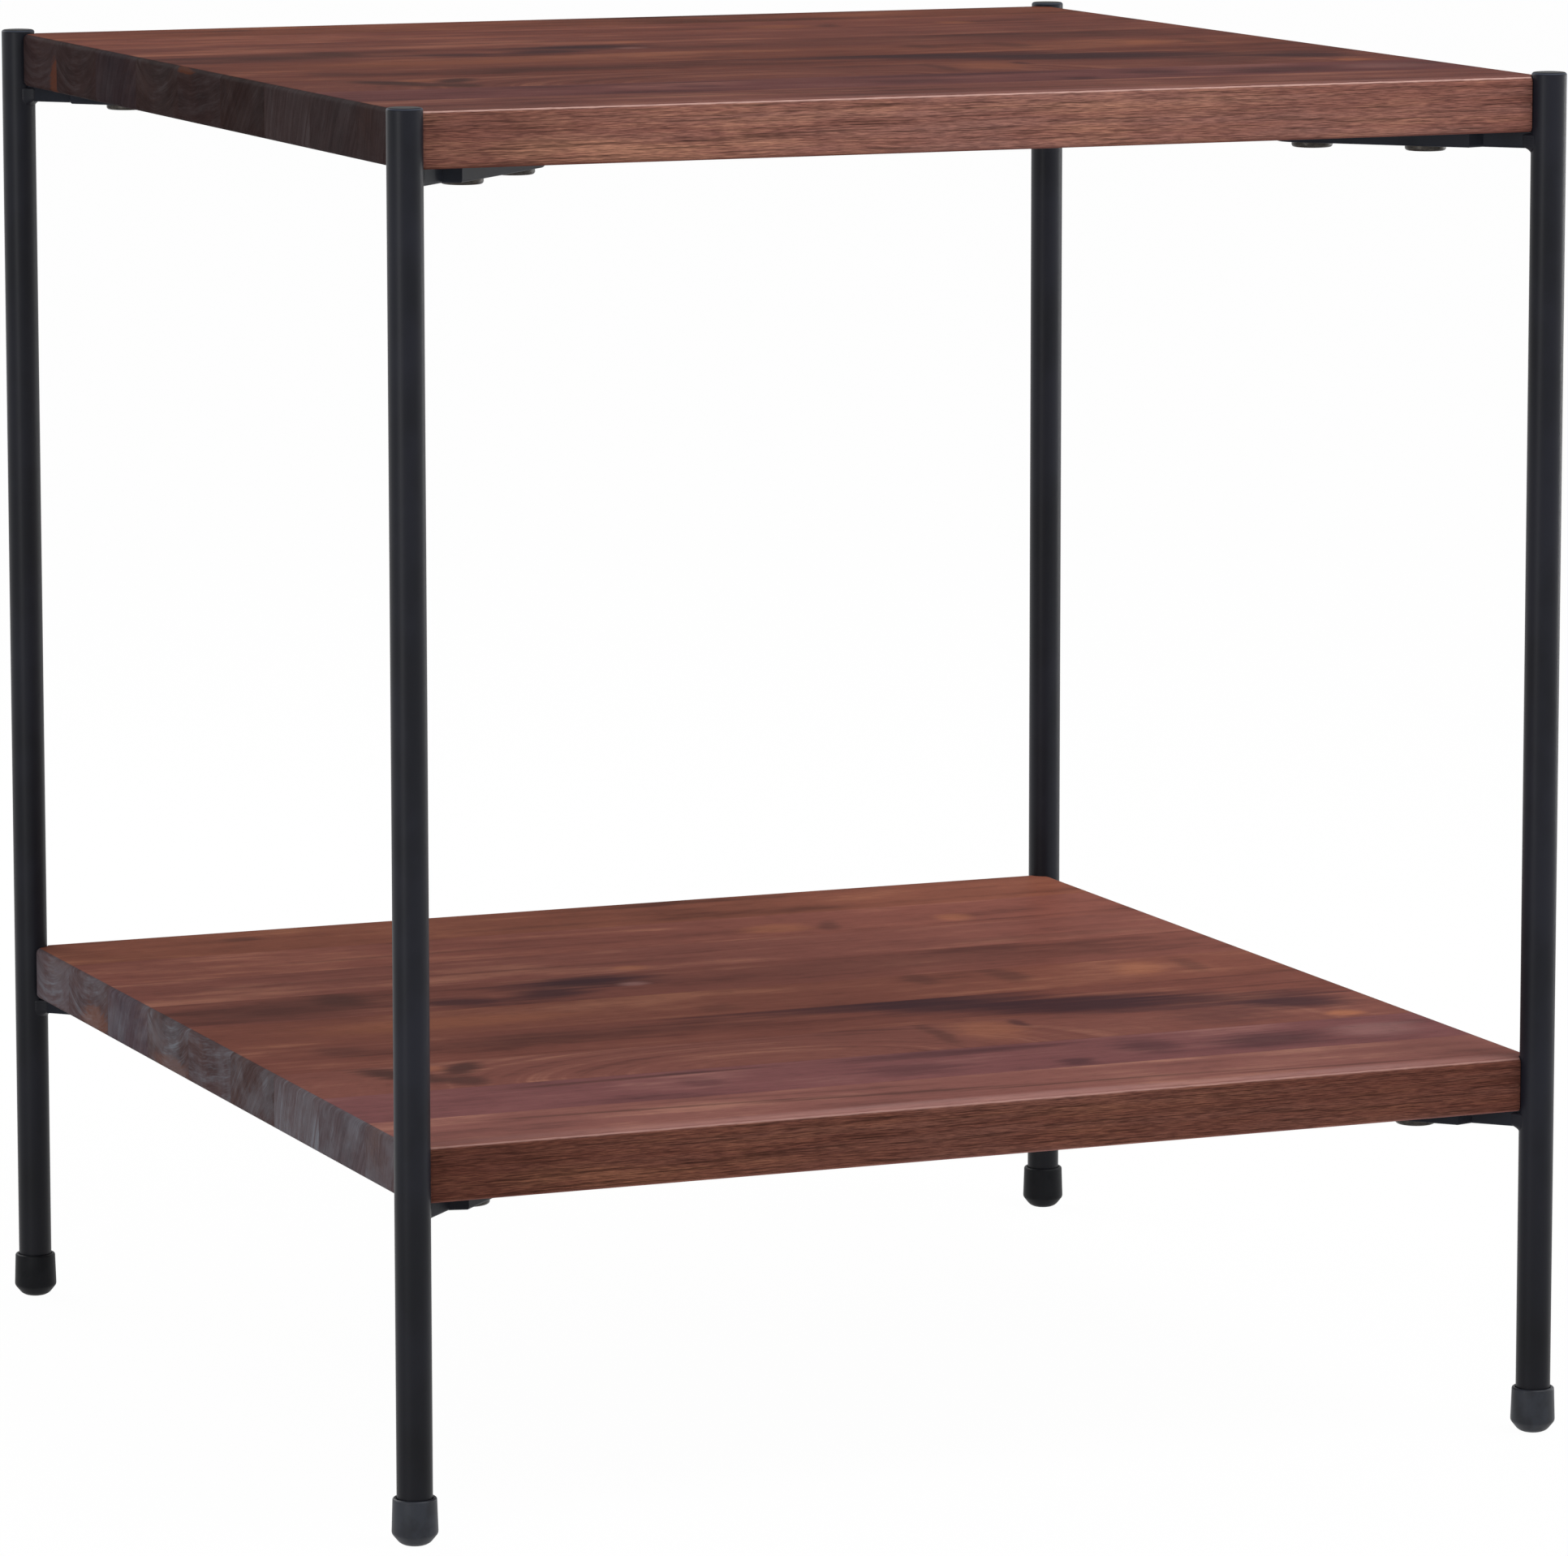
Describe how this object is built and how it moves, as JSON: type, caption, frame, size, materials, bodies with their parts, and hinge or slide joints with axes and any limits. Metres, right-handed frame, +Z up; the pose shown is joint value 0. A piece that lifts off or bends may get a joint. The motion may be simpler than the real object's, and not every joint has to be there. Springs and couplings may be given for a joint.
{
  "type": "nightstand",
  "caption": "Open nightstand with a square wooden top and low shelf on slender round black steel legs, with rubber feet and bolted diagonal bracket arms.",
  "frame": {"origin": "on the floor, at the middle of the footprint", "axes": "+X along the boards' grain, to the right seen from the front; +Y to the back; +Z up"},
  "size_m": [0.4538, 0.4536, 0.5],
  "materials": {
    "walnut_board": "satin walnut stain and lacquer",
    "black_coated_steel": "satin black powder coat",
    "black_rubber": "smooth black rubber",
    "dark_bolt_steel": "dark bronze-black plating",
    "zinc_insert": "yellow zinc plating"
  },
  "bodies": {
    "root": {"front_left_foot": "black_rubber", "front_left_leg": "black_coated_steel", "front_left_leg_cap": "black_coated_steel", "front_left_shelf_bracket": "black_coated_steel", "front_left_top_bracket": "black_coated_steel", "front_left_welds": "black_coated_steel", "front_right_foot": "black_rubber", "front_right_leg": "black_coated_steel", "front_right_leg_cap": "black_coated_steel", "front_right_shelf_bracket": "black_coated_steel", "front_right_top_bracket": "black_coated_steel", "front_right_welds": "black_coated_steel", "rear_left_foot": "black_rubber", "rear_left_leg": "black_coated_steel", "rear_left_leg_cap": "black_coated_steel", "rear_left_shelf_bracket": "black_coated_steel", "rear_left_top_bracket": "black_coated_steel", "rear_left_welds": "black_coated_steel", "rear_right_foot": "black_rubber", "rear_right_leg": "black_coated_steel", "rear_right_leg_cap": "black_coated_steel", "rear_right_shelf_bracket": "black_coated_steel", "rear_right_top_bracket": "black_coated_steel", "rear_right_welds": "black_coated_steel", "shelf_bolts": "dark_bolt_steel", "shelf_inserts": "zinc_insert", "shelf_stave_1": "walnut_board", "shelf_stave_2": "walnut_board", "shelf_stave_3": "walnut_board", "shelf_stave_4": "walnut_board", "shelf_stave_5": "walnut_board", "shelf_stave_6": "walnut_board", "shelf_stave_7": "walnut_board", "shelf_stave_8": "walnut_board", "shelf_stave_9": "walnut_board", "top_bolts": "dark_bolt_steel", "top_inserts": "zinc_insert", "top_stave_1": "walnut_board", "top_stave_2": "walnut_board", "top_stave_3": "walnut_board", "top_stave_4": "walnut_board", "top_stave_5": "walnut_board", "top_stave_6": "walnut_board", "top_stave_7": "walnut_board", "top_stave_8": "walnut_board", "top_stave_9": "walnut_board"}
  },
  "joints": []
}
